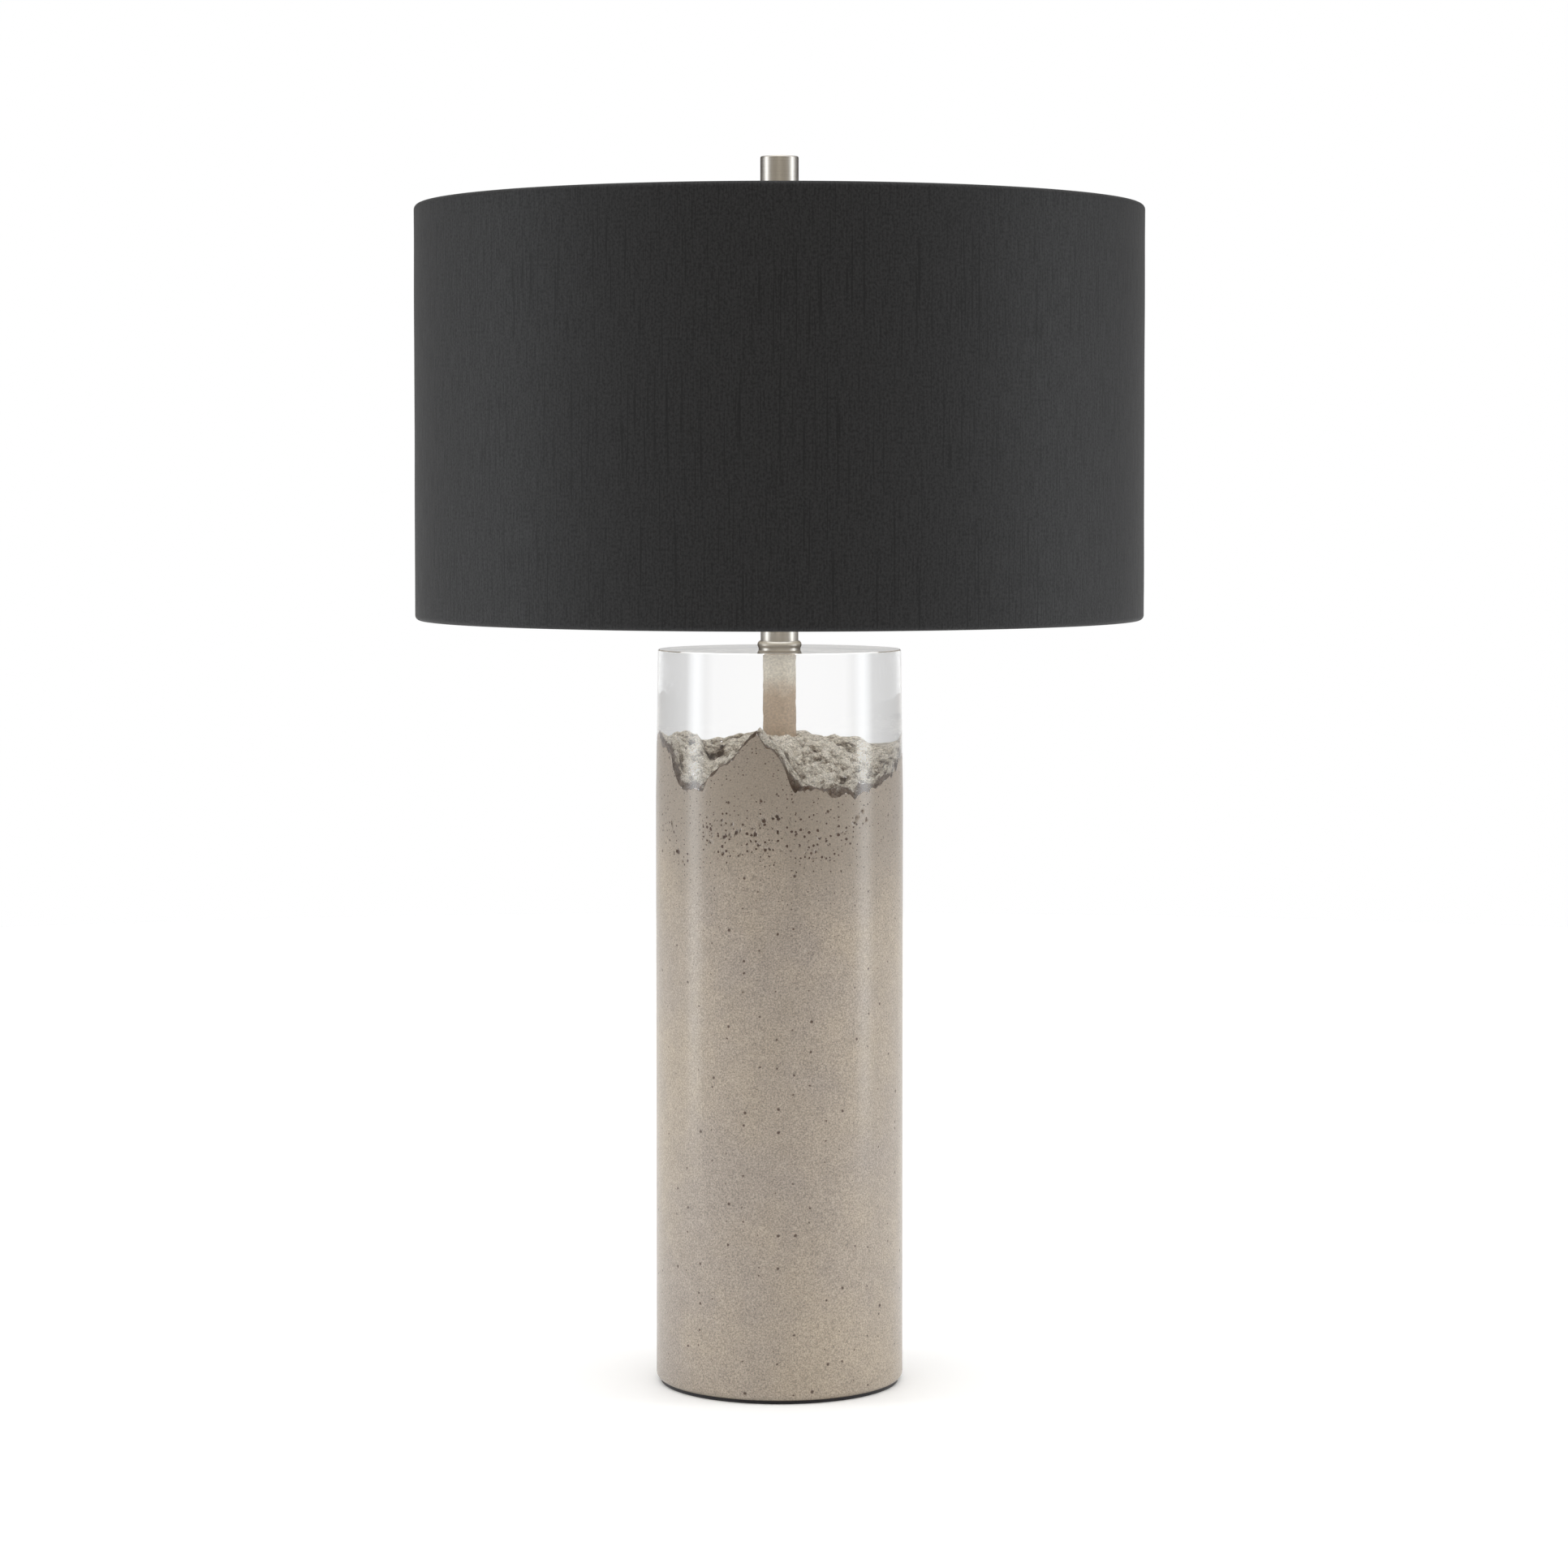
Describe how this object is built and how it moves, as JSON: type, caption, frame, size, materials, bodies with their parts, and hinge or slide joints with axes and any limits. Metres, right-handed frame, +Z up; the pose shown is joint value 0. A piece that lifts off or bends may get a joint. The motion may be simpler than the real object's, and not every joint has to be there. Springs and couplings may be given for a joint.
{
  "type": "table lamp",
  "caption": "Table lamp with a cast concrete column under a clear cast top with a broken inner edge, a metal neck, harp, bulb socket, finial and drum shade.",
  "frame": {"origin": "on the lamp's vertical axis, in the plane of the surface that the felt pad rests on", "axes": "+Z up; the front, with the switch knob and the highest point of the broken edge, faces -Y; the cord outlet faces +Y; the harp stands in the XZ plane"},
  "size_m": [0.4826, 0.4826, 0.8151],
  "materials": {
    "felt": "pressed black wool felt",
    "zinc_steel": "zinc-plated steel",
    "concrete": "cast concrete, fine pinholes, sealed matt",
    "cement": "cast cement sleeve",
    "clear_resin": "water-clear casting, polished",
    "black_nylon": "moulded nylon",
    "brushed_nickel": "brushed nickel plate",
    "zinc_screw": "zinc-plated screw",
    "paper_tube": "waxed insulating paper",
    "phenolic": "moulded phenolic",
    "brass": "rolled brass",
    "shaft_steel": "turned steel",
    "shade_cloth": "black slub-woven silk cloth",
    "shade_film": "off-white styrene film",
    "frame_wire": "white-enamelled steel wire",
    "bulb_metal": "rolled aluminium",
    "vitrite": "black glass insulator",
    "solder": "tinned contact",
    "frosted_glass": "inside-frosted glass"
  },
  "bodies": {
    "base": {"felt_pad": "felt", "base_plate": "zinc_steel", "concrete_column": "concrete", "clear_top": "clear_resin", "cement_stem": "cement", "cord_outlet_bush": "black_nylon", "lamp_pipe": "zinc_steel", "bottom_washer": "zinc_steel", "bottom_lock_washer": "zinc_steel", "bottom_nut": "zinc_steel", "check_ring": "brushed_nickel", "neck_tube": "brushed_nickel", "neck_cap": "brushed_nickel", "harp_saddle": "brushed_nickel", "socket_cap": "brushed_nickel", "socket_set_screw": "zinc_screw", "socket_shell": "brushed_nickel", "socket_paper_liner": "paper_tube", "socket_body": "phenolic", "socket_screw_shell": "brass", "socket_contact": "brass", "socket_rivets": "brass", "terminal_screws": "brass"},
    "harp": {"harp_wire": "brushed_nickel"},
    "left_sleeve": {"harp_sleeve_left": "brushed_nickel"},
    "right_sleeve": {"harp_sleeve_right": "brushed_nickel"},
    "stud": {"harp_stud": "brushed_nickel"},
    "shade": {"shade_spider": "frame_wire", "shade_top_ring": "frame_wire", "shade_bottom_ring": "frame_wire", "shade_fabric": "shade_cloth", "shade_liner": "shade_film"},
    "finial": {"finial": "brushed_nickel"},
    "switch": {"switch_shaft": "shaft_steel", "switch_knob": "phenolic"},
    "bulb": {"bulb_cap": "bulb_metal", "bulb_insulator": "vitrite", "bulb_contact": "solder", "bulb_glass": "frosted_glass"}
  },
  "joints": [
    {"name": "harp_lift", "type": "slide", "parent": "base", "child": "harp", "axis": [0, 0, 1], "range_m": [0, 0.04]},
    {"name": "left_sleeve_lift", "type": "slide", "parent": "harp", "child": "left_sleeve", "axis": [0, 0, 1], "range_m": [0, 0.01]},
    {"name": "right_sleeve_lift", "type": "slide", "parent": "harp", "child": "right_sleeve", "axis": [0, 0, 1], "range_m": [0, 0.01]},
    {"name": "shade_turn", "type": "hinge", "parent": "harp", "child": "stud", "pos_m": [0, 0, 0.7717], "axis": [0, 0, 1], "continuous": true},
    {"name": "shade_lift", "type": "slide", "parent": "stud", "child": "shade", "axis": [0, 0, 1], "range_m": [0, 0.3]},
    {"name": "finial_turn", "type": "hinge", "parent": "shade", "child": "finial", "pos_m": [0, 0, 0.79], "axis": [0, 0, 1], "continuous": true},
    {"name": "switch_turn", "type": "hinge", "parent": "base", "child": "switch", "pos_m": [0, -0.03, 0.5711], "axis": [0, -1, 0], "continuous": true},
    {"name": "bulb_turn", "type": "hinge", "parent": "base", "child": "bulb", "pos_m": [0, 0, 0.65], "axis": [0, 0, 1], "continuous": true}
  ]
}
